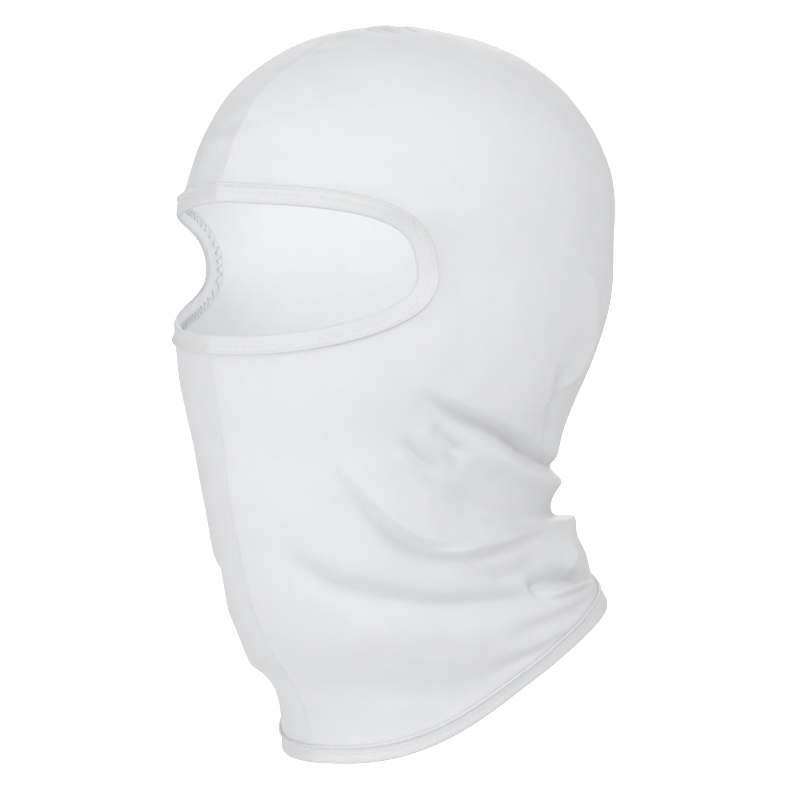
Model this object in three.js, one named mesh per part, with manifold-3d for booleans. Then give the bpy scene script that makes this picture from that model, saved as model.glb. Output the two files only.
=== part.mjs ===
// A lightweight stretch balaclava in its worn shape: two knitted side panels joined by a seam down the
// middle, an eye opening and a neck hem that are both bound with a folded strip, and the threads that
// hold them. Millimetres, +Z up, +X to the wearer's left, the face looks along -Y. The origin is the
// centre of the head that fills the hood.
import * as THREE from "three";
import { mergeVertices } from "three/addons/utils/BufferGeometryUtils.js";
import Module from "manifold-3d";

const wasm = await Module();
wasm.setup();

// Overall shape of the stretched cloth, at its outer face.
const CROWN_Z = 110;
const CROWN_FORWARD = 5;
const CROWN_POWER = 2.05;
const BROW_Z = 33;
// Levels below the brow: height, front and back on the middle plane, half width, and where it is widest.
const LEVELS = [
  { z: 33, front: -100, back: 97, half: 78, widest: 2 },
  { z: 0, front: -103, back: 96, half: 77, widest: 4 },
  { z: -32, front: -104, back: 84, half: 72, widest: -2 },
  { z: -60, front: -98, back: 72, half: 63, widest: -6 },
  { z: -85, front: -94, back: 71, half: 60, widest: -6 },
  { z: -110, front: -87, back: 87, half: 63, widest: 4 },
  { z: -135, front: -76, back: 96, half: 64, widest: 18 },
  { z: -165, front: -55, back: 98, half: 58, widest: 24 },
  { z: -197, front: -47, back: 98, half: 54, widest: 26 },
];
// The cloth lies deeper over the temples: how far, and the middle and spread of the hollow.
const TEMPLE = { depth: 9, angle: Math.PI / 3, across: 0.44, z: 8, tall: 24 };
// The hem is low at the front and high at the back, and fuller to both sides of the front.
const HEM = { mean: -157.4, swing: 36.3, fullness: 2.2 };
// Where it rises or falls off that curve: at this many degrees from the front, this many degrees wide.
const HEM_RISES = [
  { at: 0, width: 25, rise: 1.6 },
  { at: 90, width: 30, rise: 3.4 },
  { at: 143, width: 21, rise: -2.9 },
];

// Eye opening, seen from the front: its two ends, and its upper and lower edges between them.
const EYE_HALF_WIDTH = 62.5;
const EYE_END_Z = 14;
const EYE_TOP = { height: 28, power: 3.8 };
const EYE_BOTTOM = { height: 26.5, power: 2.6 };

// Cloth, seams and binding.
const CLOTH = 0.8;
const PLY_GAP = 0.3;
const ALLOWANCE = 6;
const BINDING_WIDTH = 7.5;
const BINDING_CLOTH = 0.6;
const BINDING_CLEARANCE = 0.6;
const PANEL_SETBACK = 3.4;
const ELASTIC = { width: 2.2, thickness: 1 };
const STITCH_ROWS = { near_fold: 4.6, near_edge: 7.0 };
const THREAD_RADIUS = 0.3;
const LOOPER = { width: 3, thickness: 0.5 };
const OVERLOCK = { width: 3.5, thickness: 0.5 };
const LABEL = { width: 14, thickness: 0.5, low: -112, high: -88 };

// Mesh steps.
const PANEL_COLUMNS = 25;
const NECK_ROWS = 12;
const FACE_ROWS = 9;
const CROWN_ROWS = 8;
const EYE_STEPS = 60;
const HEM_STEPS = 2 * PANEL_COLUMNS;
const THREAD_SIDES = 5;

// ---- The cloth surface -----------------------------------------------------------------------------

// A smooth curve through one measure of the levels, level at both ends.
function throughLevels(key) {
  const slope = (i) => {
    if (i === 0 || i === LEVELS.length - 1) return 0;
    const [above, below] = [LEVELS[i - 1], LEVELS[i + 1]];
    return (above[key] - below[key]) / (above.z - below.z);
  };
  return (z) => {
    let i = 0;
    while (i < LEVELS.length - 2 && z < LEVELS[i + 1].z) i += 1;
    const [a, b] = [LEVELS[i], LEVELS[i + 1]];
    const span = b.z - a.z;
    const t = THREE.MathUtils.clamp((z - a.z) / span, 0, 1);
    const [t2, t3] = [t * t, t * t * t];
    return (
      (2 * t3 - 3 * t2 + 1) * a[key] +
      (t3 - 2 * t2 + t) * span * slope(i) +
      (3 * t2 - 2 * t3) * b[key] +
      (t3 - t2) * span * slope(i + 1)
    );
  };
}
const measures = {};
for (const key of ["front", "back", "half", "widest"]) measures[key] = throughLevels(key);

function hemZ(angle) {
  const fromFront = THREE.MathUtils.radToDeg(Math.acos(Math.cos(angle)));
  const rises = HEM_RISES.map(({ at, width, rise }) => rise * Math.exp(-(((fromFront - at) / width) ** 2)));
  const curve = HEM.mean - HEM.swing * Math.cos(angle) + HEM.fullness * Math.cos(3 * angle);
  return rises.reduce((sum, rise) => sum + rise, curve);
}

// How much a level above the brow is drawn in towards the crown.
function crownShrink(z) {
  const rise = THREE.MathUtils.clamp((z - BROW_Z) / (CROWN_Z - BROW_Z), 0, 1);
  return (1 - rise ** CROWN_POWER) ** (1 / CROWN_POWER);
}

function templeHollow(angle, z) {
  const across = (Math.abs(angle) - TEMPLE.angle) / TEMPLE.across;
  return TEMPLE.depth * Math.exp(-(across ** 2) - ((z - TEMPLE.z) / TEMPLE.tall) ** 2);
}

// A point on the outer face. Angle 0 is the front, PI the back, and negative angles the wearer's right.
function outerPoint(angle, z) {
  const level = Math.min(z, BROW_Z);
  const shrink = crownShrink(z);
  const [front, back] = [measures.front(level), measures.back(level)];
  const [half, widest] = [measures.half(level), measures.widest(level)];
  const depth = Math.cos(angle) > 0 ? widest - front : back - widest;
  const x = shrink * half * Math.sin(angle);
  const y = shrink * (widest - depth * Math.cos(angle)) - (1 - shrink) * CROWN_FORWARD;
  return new THREE.Vector3(x, y + templeHollow(angle, z), z);
}

// The rows of a side panel from its lower edge to the crown: the height at an angle, and whether the
// seam allowances are turned in there. They stop short of the bindings, over a step of a millimetre.
function panelRows() {
  const past = BINDING_WIDTH + 2;
  const underEye = EYE_END_Z - EYE_BOTTOM.height - past;
  const overEye = EYE_END_Z + EYE_TOP.height + past;
  const rows = [
    { z: (angle) => hemZ(angle) + PANEL_SETBACK, front: false, back: false },
    { z: (angle) => hemZ(angle) + past, front: false, back: false },
  ];
  for (let i = 0; i <= NECK_ROWS; i += 1) {
    const low = (angle) => hemZ(angle) + past + 1;
    const z = (angle) => THREE.MathUtils.lerp(low(angle), underEye - 1, i / NECK_ROWS);
    rows.push({ z, front: true, back: true });
  }
  for (let i = 0; i <= FACE_ROWS; i += 1) {
    const level = THREE.MathUtils.lerp(underEye, overEye, i / FACE_ROWS);
    rows.push({ z: () => level, front: false, back: true });
  }
  const height = CROWN_Z - BROW_Z;
  const start = Math.asin(((overEye + 1 - BROW_Z) / height) ** (CROWN_POWER / 2));
  for (let i = 0; i <= CROWN_ROWS; i += 1) {
    const turn = THREE.MathUtils.lerp(start, Math.PI / 2, i / CROWN_ROWS);
    const level = BROW_Z + height * Math.sin(turn) ** (2 / CROWN_POWER);
    rows.push({ z: () => level, front: true, back: true });
  }
  return rows;
}
const ROWS = panelRows();

// The outward direction at a point of the outer face.
function normalAt(angle, z) {
  if (z > CROWN_Z - 0.5) return new THREE.Vector3(0, 0, 1);
  const [turn, lift] = [0.01, 0.4];
  const along = outerPoint(angle + turn, z).sub(outerPoint(angle - turn, z));
  const up = outerPoint(angle, z + lift).sub(outerPoint(angle, z - lift));
  return along.cross(up).normalize();
}

const offsetPoint = (angle, z, out) => outerPoint(angle, z).addScaledVector(normalAt(angle, z), out);

// ---- Closed solids from rings of points ------------------------------------------------------------

// Joins equal rings, each running counter-clockwise seen from the last ring, into one closed body.
function loft(rings, closed, capFaces) {
  const points = rings.flat();
  const count = rings[0].length;
  const faces = [];
  const last = closed ? rings.length : rings.length - 1;
  for (let r = 0; r < last; r += 1) {
    const [low, high] = [r * count, ((r + 1) % rings.length) * count];
    for (let i = 0; i < count; i += 1) {
      const j = (i + 1) % count;
      faces.push([low + i, low + j, high + j], [low + i, high + j, high + i]);
    }
  }
  if (!closed) {
    const top = (rings.length - 1) * count;
    for (const [a, b, c] of capFaces) {
      faces.push([a, c, b]);
      if (rings.at(-1)[0].distanceTo(rings.at(-1)[1]) > 1e-6) faces.push([top + a, top + b, top + c]);
    }
  }
  const same = (a, b) => points[a].distanceToSquared(points[b]) < 1e-8;
  const whole = faces.filter(([a, b, c]) => !same(a, b) && !same(b, c) && !same(c, a));
  const geometry = new THREE.BufferGeometry();
  const flat = whole.flat().flatMap((index) => points[index].toArray());
  geometry.setAttribute("position", new THREE.Float32BufferAttribute(flat, 3));
  return mergeVertices(geometry, 1e-3);
}

// The triangles that close the end of a ring, from its outline in the plane.
function capOf(outline) {
  return THREE.ShapeUtils.triangulateShape(outline.map(([x, y]) => new THREE.Vector2(x, y)), []);
}

function toManifold(geometry) {
  const bare = new THREE.BufferGeometry();
  bare.setAttribute("position", geometry.getAttribute("position").clone());
  if (geometry.index) bare.setIndex(geometry.index.clone());
  const merged = mergeVertices(bare, 1e-3);
  return new wasm.Manifold(
    new wasm.Mesh({
      numProp: 3,
      vertProperties: merged.getAttribute("position").array,
      triVerts: new Uint32Array(merged.index.array),
    }),
  );
}

function toGeometry(solid) {
  const mesh = solid.getMesh();
  const geometry = new THREE.BufferGeometry();
  geometry.setAttribute("position", new THREE.BufferAttribute(mesh.vertProperties, 3));
  geometry.setIndex(new THREE.BufferAttribute(mesh.triVerts, 1));
  return geometry;
}

// ---- The eye opening -------------------------------------------------------------------------------

// The angle of the point of the front that lies at x, z in the front view.
function frontAngle(x, z) {
  return Math.asin(x / (measures.half(Math.min(z, BROW_Z)) * crownShrink(z)));
}

function eyeEdge(turn) {
  const [c, s] = [Math.cos(turn), Math.sin(turn)];
  const { height, power } = s > 0 ? EYE_TOP : EYE_BOTTOM;
  const x = EYE_HALF_WIDTH * Math.sign(c) * Math.abs(c) ** (2 / power);
  const z = EYE_END_Z + height * Math.sign(s) * Math.abs(s) ** (2 / power);
  return outerPoint(frontAngle(x, z), z);
}

// A point beside the eye opening: that far from its edge along the cloth, and that far out from the cloth.
function besideEye(turn, away, out) {
  const edge = eyeEdge(turn);
  const along = eyeEdge(turn + 0.02).sub(eyeEdge(turn - 0.02)).normalize();
  const outward = normalAt(frontAngle(edge.x, edge.z), edge.z);
  const aside = along.cross(outward).normalize();
  edge.addScaledVector(aside, away);
  return offsetPoint(frontAngle(edge.x, edge.z), edge.z, out);
}

// The same beside the neck hem: away is measured up from the fold.
const besideHem = (turn, away, out) => offsetPoint(turn, hemZ(turn) + away, out);

// Even steps round the eye opening, so that its tight ends get as many as its long edges need.
function eyeTurns() {
  const samples = 720;
  const lengths = [0];
  for (let i = 1; i <= samples; i += 1) {
    const [a, b] = [(i - 1) / samples, i / samples].map((share) => eyeEdge(share * 2 * Math.PI));
    lengths.push(lengths.at(-1) + a.distanceTo(b));
  }
  const turns = [];
  for (let step = 0, i = 0; step < EYE_STEPS; step += 1) {
    const wanted = (lengths.at(-1) * step) / EYE_STEPS;
    while (lengths[i + 1] < wanted) i += 1;
    const part = (wanted - lengths[i]) / (lengths[i + 1] - lengths[i]);
    turns.push(((i + part) / samples) * 2 * Math.PI);
  }
  return turns.reverse();
}

const EYE_LOOP = { beside: besideEye, turns: eyeTurns() };
const HEM_LOOP = {
  beside: besideHem,
  turns: Array.from({ length: HEM_STEPS }, (_, i) => (i / HEM_STEPS) * 2 * Math.PI),
};

// ---- Pieces ----------------------------------------------------------------------------------------

// One row of a side panel: the outer face from front to back, the back seam allowance turned in, the
// inner face back to the front, and the front seam allowance.
function panelRing(row) {
  const [outside, inside] = [[], []];
  for (let i = 0; i <= PANEL_COLUMNS; i += 1) {
    const angle = (Math.PI * i) / PANEL_COLUMNS;
    const z = row.z(angle);
    const outer = outerPoint(angle, z);
    const inner = offsetPoint(angle, z, -CLOTH);
    outer.x = Math.max(outer.x, PLY_GAP / 2);
    inner.x = Math.max(inner.x, PLY_GAP / 2 + CLOTH);
    outside.push(outer);
    inside.push(inner);
  }
  const turnIn = (angle, turned, outer, inner) => {
    if (!turned) return [outer.clone(), inner.clone()];
    const tip = offsetPoint(angle, row.z(angle), -ALLOWANCE);
    return [outer.x, inner.x].map((x) => new THREE.Vector3(x, tip.y, tip.z));
  };
  const [frontOuter, frontInner] = turnIn(0, row.front, outside[0], inside[0]);
  const [backOuter, backInner] = turnIn(Math.PI, row.back, outside.at(-1), inside.at(-1));
  return [...outside, backOuter, backInner, ...inside.reverse(), frontInner, frontOuter];
}

// A ring's cap is the strip between its outer and inner points.
function panelCap() {
  const n = PANEL_COLUMNS;
  const inner = (i) => 2 * n + 3 - i;
  const faces = [];
  for (let i = 0; i < n; i += 1) faces.push([i, i + 1, inner(i + 1)], [i, inner(i + 1), inner(i)]);
  faces.push([n, n + 1, n + 2], [n, n + 2, n + 3]);
  faces.push([0, 2 * n + 3, 2 * n + 4], [0, 2 * n + 4, 2 * n + 5]);
  return faces;
}

function sidePanel(mirror) {
  const shell = toManifold(loft(ROWS.map(panelRing), false, panelCap()));
  const outline = EYE_LOOP.turns.map((turn) => besideEye(turn, PANEL_SETBACK, 0));
  const shape = new THREE.Shape(outline.map((p) => new THREE.Vector2(p.x, p.z)));
  const cutter = new THREE.ExtrudeGeometry(shape, { depth: 110, bevelEnabled: false, steps: 1 });
  cutter.rotateX(Math.PI / 2);
  cutter.translate(0, -20, 0);
  const cut = toGeometry(shell.subtract(toManifold(cutter)));
  if (mirror) {
    cut.scale(-1, 1, 1);
    const index = cut.index.array;
    for (let i = 0; i < index.length; i += 3) [index[i + 1], index[i + 2]] = [index[i + 2], index[i + 1]];
  }
  return cut;
}

// A closed strip of one cross-section, an outline of [away, out] pairs, round the eye opening or the hem.
function stripAround(edge, outline) {
  return loft(
    edge.turns.map((turn) => outline.map(([away, out]) => edge.beside(turn, away, out))),
    true,
  );
}

// The binding folds over the panel's edge: an outer leg, the fold at 0, and an inner leg.
function binding(edge) {
  const outer = BINDING_CLEARANCE + BINDING_CLOTH;
  const inner = -CLOTH - BINDING_CLEARANCE - BINDING_CLOTH;
  const round = 0.7;
  return stripAround(edge, [
    [BINDING_WIDTH, outer],
    [round, outer],
    [0, outer - round],
    [0, inner + round],
    [round, inner],
    [BINDING_WIDTH, inner],
    [BINDING_WIDTH, inner + BINDING_CLOTH],
    [BINDING_CLOTH, inner + BINDING_CLOTH],
    [BINDING_CLOTH, outer - BINDING_CLOTH],
    [BINDING_WIDTH, outer - BINDING_CLOTH],
  ]);
}

const rectangle = (away0, away1, out0, out1) => [
  [away1, out1],
  [away0, out1],
  [away0, out0],
  [away1, out0],
];

// A flat elastic that lies in the binding's fold, beyond the panel's cut edge.
function elastic(edge) {
  const start = BINDING_CLOTH + PLY_GAP;
  const middle = -CLOTH / 2;
  const half = ELASTIC.thickness / 2;
  return stripAround(edge, rectangle(start, start + ELASTIC.width, middle - half, middle + half));
}

function needleThread(edge, away) {
  const out = BINDING_CLEARANCE + BINDING_CLOTH + PLY_GAP + THREAD_RADIUS;
  const outline = Array.from({ length: THREAD_SIDES }, (_, i) => {
    const turn = (i / THREAD_SIDES) * 2 * Math.PI;
    return [away + THREAD_RADIUS * Math.cos(turn), out + THREAD_RADIUS * Math.sin(turn)];
  });
  return stripAround(edge, outline);
}

function looperThread(edge) {
  const top = -CLOTH - BINDING_CLEARANCE - BINDING_CLOTH - PLY_GAP;
  const middle = (STITCH_ROWS.near_fold + STITCH_ROWS.near_edge) / 2;
  const half = LOOPER.width / 2;
  return stripAround(edge, rectangle(middle - half, middle + half, top - LOOPER.thickness, top));
}

// The thread that wraps the two seam allowances, from one [angle, height] on the seam to the next.
function overlock(route) {
  const slot = PLY_GAP / 2 + CLOTH + PLY_GAP;
  const side = slot + OVERLOCK.thickness;
  const mouth = ALLOWANCE - OVERLOCK.width;
  const floor = ALLOWANCE + PLY_GAP;
  const back = floor + OVERLOCK.thickness;
  const outline = [
    [-side, mouth],
    [-slot, mouth],
    [-slot, floor],
    [slot, floor],
    [slot, mouth],
    [side, mouth],
    [side, back],
    [-side, back],
  ];
  const rings = route.map(([angle, z]) =>
    outline.map(([x, depth]) => offsetPoint(angle, z, -depth).setX(x)),
  );
  return loft(rings, false, capOf(outline));
}

// The rows of the front or back seam between two heights where the allowances are turned in.
function seamRoute(end, low, high) {
  const angle = end === "front" ? 0 : Math.PI;
  const turned = ROWS.filter((row) => row[end] && row.z(angle) > low && row.z(angle) < high);
  return turned.map((row) => [angle, row.z(angle)]);
}

// A folded label sewn to the left allowance of the back seam, lying against it.
function careLabel() {
  const near = PLY_GAP / 2 + CLOTH + PLY_GAP + OVERLOCK.thickness + PLY_GAP;
  const far = near + LABEL.thickness;
  const [root, tip] = [ALLOWANCE / 2, ALLOWANCE / 2 + LABEL.width];
  const outline = [
    [near, root],
    [far, root],
    [far, tip],
    [near, tip],
  ];
  const steps = 4;
  const rings = Array.from({ length: steps + 1 }, (_, i) => {
    const z = THREE.MathUtils.lerp(LABEL.high, LABEL.low, i / steps);
    return outline.map(([x, depth]) => offsetPoint(Math.PI, z, -depth).setX(x));
  });
  return loft(rings, false, capOf(outline));
}

// ---- The assembly ----------------------------------------------------------------------------------

const WHITE_KNIT = { color: 0xe9eaec, roughness: 0.62, metalness: 0 };
const BINDING_KNIT = { color: 0xe6e7ea, roughness: 0.6, metalness: 0 };
const WHITE_THREAD = { color: 0xf0f0f0, roughness: 0.5, metalness: 0 };
const ELASTIC_RUBBER = { color: 0xdedcd6, roughness: 0.7, metalness: 0 };
const LABEL_SATIN = { color: 0xf4f4f2, roughness: 0.4, metalness: 0 };

const balaclava = new THREE.Group();
function addPiece(name, geometry, look) {
  const mesh = new THREE.Mesh(geometry, new THREE.MeshStandardMaterial(look));
  mesh.name = name;
  balaclava.add(mesh);
}

addPiece("left_side_panel", sidePanel(false), WHITE_KNIT);
addPiece("right_side_panel", sidePanel(true), WHITE_KNIT);

for (const [name, edge] of Object.entries({ eye_opening: EYE_LOOP, neck_hem: HEM_LOOP })) {
  addPiece(`${name}_binding`, binding(edge), BINDING_KNIT);
  addPiece(`${name}_needle_thread_inner`, needleThread(edge, STITCH_ROWS.near_fold), WHITE_THREAD);
  addPiece(`${name}_needle_thread_outer`, needleThread(edge, STITCH_ROWS.near_edge), WHITE_THREAD);
  addPiece(`${name}_looper_thread`, looperThread(edge), WHITE_THREAD);
}
addPiece("eye_opening_elastic", elastic(EYE_LOOP), ELASTIC_RUBBER);

const overBrow = seamRoute("front", EYE_END_Z, CROWN_Z - 1);
const downBack = seamRoute("back", hemZ(Math.PI), CROWN_Z + 1).reverse();
addPiece("crown_and_back_seam_overlock", overlock([...overBrow, ...downBack]), WHITE_THREAD);
addPiece("chin_seam_overlock", overlock(seamRoute("front", hemZ(0), EYE_END_Z)), WHITE_THREAD);
addPiece("care_label", careLabel(), LABEL_SATIN);

export default balaclava;
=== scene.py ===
"""A lightweight white stretch balaclava in its worn shape, on a plain white floor.

The cloth's outer face is a formula of the angle round the head (0 at the front, 180 degrees at the
back, positive on the wearer's left) and the height. Folds are added to it along given lines.
Sizes are in millimetres until a mesh is made, and angles are in radians unless a comment says degrees.
"""

import bmesh
import bpy
import numpy as np
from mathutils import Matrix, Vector


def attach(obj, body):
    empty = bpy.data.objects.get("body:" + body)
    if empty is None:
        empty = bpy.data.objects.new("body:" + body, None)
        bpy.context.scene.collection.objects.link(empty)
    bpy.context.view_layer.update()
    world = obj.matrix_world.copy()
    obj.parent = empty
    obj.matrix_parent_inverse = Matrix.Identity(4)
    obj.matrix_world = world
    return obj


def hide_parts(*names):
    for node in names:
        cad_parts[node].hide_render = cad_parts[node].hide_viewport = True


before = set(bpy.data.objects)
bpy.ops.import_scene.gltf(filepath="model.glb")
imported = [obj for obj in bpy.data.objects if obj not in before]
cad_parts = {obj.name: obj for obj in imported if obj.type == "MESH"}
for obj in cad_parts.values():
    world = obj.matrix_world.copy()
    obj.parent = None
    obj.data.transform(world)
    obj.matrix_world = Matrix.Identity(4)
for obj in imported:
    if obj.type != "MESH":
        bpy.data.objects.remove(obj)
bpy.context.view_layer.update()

MM = 0.001

# ---- Driving dimensions ----

CROWN_Z = 110.0
CROWN_FORWARD = 5.0
CROWN_POWER = 2.05
BROW_Z = 33.0
# Height, then front and back on the middle plane, half width, and where the level is widest.
LEVELS = np.array([
    (33, -100, 97, 78, 2),
    (0, -103, 96, 77, 4),
    (-32, -104, 84, 72, -2),
    (-60, -98, 72, 63, -6),
    (-85, -94, 71, 60, -6),
    (-110, -87, 87, 63, 4),
    (-135, -76, 96, 64, 18),
    (-165, -55, 98, 58, 24),
    (-197, -47, 98, 54, 26),
], dtype=float)
# The face lies further back at both temples, and the right one is pressed in as well.
TEMPLE = dict(depth=9.0, middle=np.radians(60), across=0.44, middle_z=8.0, tall=24.0)
RIGHT_TEMPLE = dict(depth=5.0, middle=np.radians(62), across=0.35, middle_z=12.0, tall=22.0)
# The forehead is drawn in to each side of the middle.
FOREHEAD = dict(depth=2.6, middle=np.radians(46), across=0.42)
HEM = dict(mean=-157.4, swing=36.3, fullness=2.2)
# Where the hem rises or falls off that curve: (degrees from the front, degrees wide, how far).
HEM_RISES = ((0, 25, 1.6), (90, 30, 3.4), (143, 21, -2.9))

EYE_HALF_WIDTH = 62.5
EYE_END_Z = 14.0
EYE_TOP = dict(height=26.8, power=3.8)
EYE_BOTTOM = dict(height=26.5, power=2.6)
EYE_SAG = 6.0
EYE_END_DROP = 5.0

CLOTH = 0.7
# Half the gap between the two panels where their seam allowances lie against each other.
PLY_GAP = 0.005
# How deep below the face each inner column of a seam allowance lies.
ALLOWANCE_DEPTHS = (1.0, 2.6, 4.3, 6.0)
BINDING_WIDTH = 7.75
PANEL_SETBACK = 3.4
# The low ridge that the cloth makes along the middle seam.
KEEL = dict(height=3.0, width=13.0)
SEAM_GROOVE = dict(depth=0.15, width=0.7)

# How far the eye opening's binding is raised, how fast that settles, and how far its edge dips in. The
# temples raise it less and lean the edge in on the left, and out on the right.
EYE_RIM = dict(lift=1.9, less_at_temple=1.2, settle=7, dip=0.6, lean_left=2.0, lean_right=-3.4)
RIM_TEMPLE = dict(middle=np.radians(54), width=0.3)
# How far the hem flares, how much more at its back corners, and how far up.
HEM_FLARE = dict(even=0.8, corner=1.7, tall=13)
HEM_CORNER = dict(middle=np.radians(138), width=0.5)

STITCH_PITCH = 2.9
# A stitch is drawn over the first 6 of the 8 steps of its pitch, and a zigzag leg takes 3 steps.
PITCH_STEPS = 8
STITCH_STEPS = 6
ZIGZAG_STEPS = 3
THREAD_RADIUS = 0.19
LOOPER_RADIUS = 0.17
OVERLOCK_RADIUS = 0.14
OVERLOCK_PITCH = 2.4

# Folds, each along a route of (angle in degrees, height). height is how far a ridge stands out (a
# valley's is negative). above and below are its widths to the two sides of the route, above being the
# upper side where the route runs towards the back. ends are the shares of the height that are left at
# its two ends, none unless given, and fades the shares of the route over which the rest comes back.
# The list is that of the wearer's left. The right has these folds too, but for those with both=False,
# and right= is the share of its height that such a fold keeps there.
FOLDS = [
    # The big step that runs down behind the jaw into the neck roll.
    dict(route=[(34, -56), (40, -63), (47, -72), (53, -82), (58, -90), (65, -96), (76, -98.5),
                (88, -98)],
         height=5.2, above=19, below=3.0, fades=(0.6, 0.35)),
    dict(route=[(32, -60), (40, -70), (49, -83), (57, -95), (67, -104), (80, -105)],
         height=-3.2, above=3.2, below=11, fades=(0.6, 0.35)),
    # The neck roll's upper edge, which grows into a shelf at the back.
    dict(route=[(58, -97), (70, -101.5), (82, -99.5), (99, -96), (119, -94), (138, -95)],
         height=4.6, above=1.7, below=2.8, fades=(0.35, 0.4)),
    dict(route=[(99, -96), (119, -94), (138, -95), (165, -97), (190, -97.5)],
         height=4.9, above=1.9, below=4.6, ends=(0, 0.8), fades=(0.4, 0.5)),
    dict(route=[(62, -108), (76, -107.5), (90, -105.5), (102, -102.5)],
         height=1.3, above=2.6, below=3.6),
    dict(route=[(54, -95.5), (62, -99), (70, -101.3), (82, -99.8), (99, -96.3), (114, -94.5)],
         height=0.9, above=0.9, below=1.3, ends=(0, 0.2)),
    dict(route=[(100, -112), (115, -110), (138, -109), (160, -110), (190, -111)],
         height=1.0, above=8, below=9, ends=(0, 1)),
    # The hollow above the neck roll.
    dict(route=[(68, -76), (78, -81), (90, -87), (108, -92.5), (125, -92), (150, -90), (190, -90)],
         height=-4.4, above=9, below=5, ends=(0, 0.75), fades=(0.25, 0.3)),
    # The upper pair: a deep valley behind the ear and the bright ridge under it.
    dict(route=[(58, -34), (66, -39.5), (74, -45.5), (84, -51), (95, -57.5), (107, -64), (126, -70),
                (150, -73), (190, -74)],
         height=-5.0, above=2.8, below=5, ends=(0, 0.5), fades=(0.3, 0.25)),
    dict(route=[(68, -46), (80, -54), (92, -63), (104, -70), (124, -76), (150, -78), (190, -79)],
         height=5.6, above=5.5, below=6, ends=(0, 0.55)),
    dict(route=[(66, -34.5), (76, -42), (88, -49), (100, -55), (110, -59)],
         height=2.0, above=10, below=2.6, ends=(0, 0.3)),
    # Short diagonal streaks between the two.
    dict(route=[(62, -48), (69, -57), (77, -66)], height=1.8, above=2.2, below=2.2, right=0.3),
    dict(route=[(66, -47), (73, -56), (81, -64)], height=-2.2, above=2.2, below=2.2, right=0.25),
    dict(route=[(58, -53), (65, -62), (74, -72)], height=-2.0, above=2.2, below=2.2, right=0.25),
    dict(route=[(56, -57), (63, -66), (71, -75)], height=1.7, above=2.4, below=2.4, right=0.3),
    dict(route=[(76, -58), (85, -66), (93, -72)], height=0.9, above=4, below=3),
    # Where the cloth leaves the back of the head: a crease, then a facet behind a short upright fold.
    dict(route=[(99, 22), (106, 14), (112, 7), (117, -3), (121, -15), (122, -26), (117, -35),
                (107, -41)],
         height=2.4, above=3.2, below=9, ends=(0, 0.4), fades=(0.5, 0.25), both=False),
    dict(route=[(109, -40), (112, -49), (116, -57), (124, -67)], height=-4.8, above=8, below=1.6,
         ends=(0.9, 0.3), both=False),
    # The soft hollows and swells of the neck.
    dict(route=[(14, -96), (24, -107), (34, -115), (48, -120.5), (64, -124), (80, -123.5),
                (96, -121.5)],
         height=-5.0, above=5.4, below=6.5, ends=(0, 0.6), fades=(0.35, 0.15)),
    dict(route=[(74, -114), (86, -113), (98, -109), (110, -104)], height=-1.4, above=4, below=4),
    dict(route=[(20, -112), (40, -131), (66, -134), (90, -130), (122, -124)],
         height=0.8, above=8, below=9),
    dict(route=[(4, -146), (20, -154), (41, -160), (60, -159), (78, -151), (98, -140)],
         height=-1.2, above=9, below=7),
    # The pinch just above the back of the hem, and the lines that run out of it.
    dict(route=[(94, -122), (98, -118.5), (106, -116.5), (118, -117), (138, -119)],
         height=-5.5, above=4.6, below=1.5, ends=(0, 0.5), fades=(0.25, 0.35), right=0.45),
    dict(route=[(96, -122.5), (104, -121.5), (114, -120.5), (130, -119.5)],
         height=2.4, above=1.4, below=1.6, ends=(0, 0.3)),
    dict(route=[(98, -124.5), (106, -123.5), (116, -122), (130, -121)],
         height=-0.8, above=1.2, below=1.2),
    dict(route=[(128, -102), (123, -107), (118, -112), (113, -115)],
         height=2.0, above=2.5, below=4, ends=(0.3, 0)),
    dict(route=[(74, -131), (90, -129), (106, -126), (130, -122)],
         height=1.5, above=3.0, below=2.8, ends=(0, 0.5)),
    dict(route=[(74, -139), (88, -135), (104, -131), (126, -125)],
         height=-1.1, above=3.0, below=3.0, ends=(0, 0.3)),
    dict(route=[(70, -148), (86, -142), (102, -136), (122, -129)],
         height=1.0, above=2.8, below=2.2, ends=(0, 0.3)),
    dict(route=[(66, -156), (80, -149), (96, -142), (114, -135)],
         height=-0.9, above=3.0, below=2.2, ends=(0, 0.2)),
]
# Folds that only the wearer's right has, with the angle counted towards the right: wrinkles of the
# forehead, then the soft swell and hollow low on the neck.
RIGHT_FOLDS = [
    dict(route=[(0, 73), (9, 71.5), (19, 70), (30, 71)],
         height=-1.8, above=2.0, below=4.0, ends=(0.6, 0)),
    dict(route=[(2, 66), (12, 64.5), (23, 63)], height=1.7, above=3.2, below=3.6, ends=(0.4, 0)),
    dict(route=[(2, 58), (9, 56), (17, 55.5)], height=-0.9, above=2.4, below=3.0),
    dict(route=[(22, -151), (36, -150), (52, -147), (72, -140)], height=2.8, above=10, below=3.5),
    dict(route=[(18, -160), (36, -163), (56, -160), (76, -152)], height=-2.2, above=4, below=7),
]
# All the right's folds are this much softer and lower than the lists say.
RIGHT_SHARE = 0.85
RIGHT_DROP = 1.5
# How far from the two bindings the folds come in, and what share of them the hem keeps.
LOOSE_FROM_EYE = (4, 22)
LOOSE_FROM_HEM = (3, 13)
HEM_FOLDS = 0.35

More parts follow.
